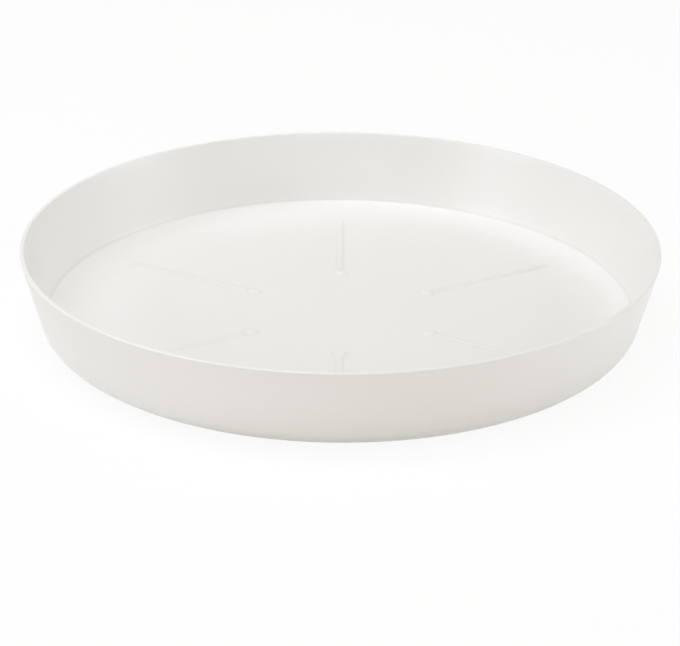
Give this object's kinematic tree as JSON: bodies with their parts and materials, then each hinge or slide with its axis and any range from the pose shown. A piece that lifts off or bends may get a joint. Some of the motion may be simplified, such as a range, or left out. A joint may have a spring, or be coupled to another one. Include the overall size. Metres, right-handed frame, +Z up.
{
  "type": "plant saucer",
  "caption": "Shallow round plastic plant saucer with a thin flared wall, a flat floor with low radial ribs and a rounded base.",
  "frame": {"origin": "centre of the foot ring, on the surface that the saucer stands on", "axes": "+Z up along the saucer's axis of revolution, towards the open rim; +X and +Y across the rim, with ribs at 30, 90, 150, 210, 270 and 330 degrees from +X"},
  "size_m": [0.28, 0.28, 0.0375],
  "materials": {
    "white_plastic": "satin moulded white plastic, slightly warm, smooth, with a soft sheen"
  },
  "bodies": {
    "root": {"saucer": "white_plastic"}
  },
  "joints": []
}
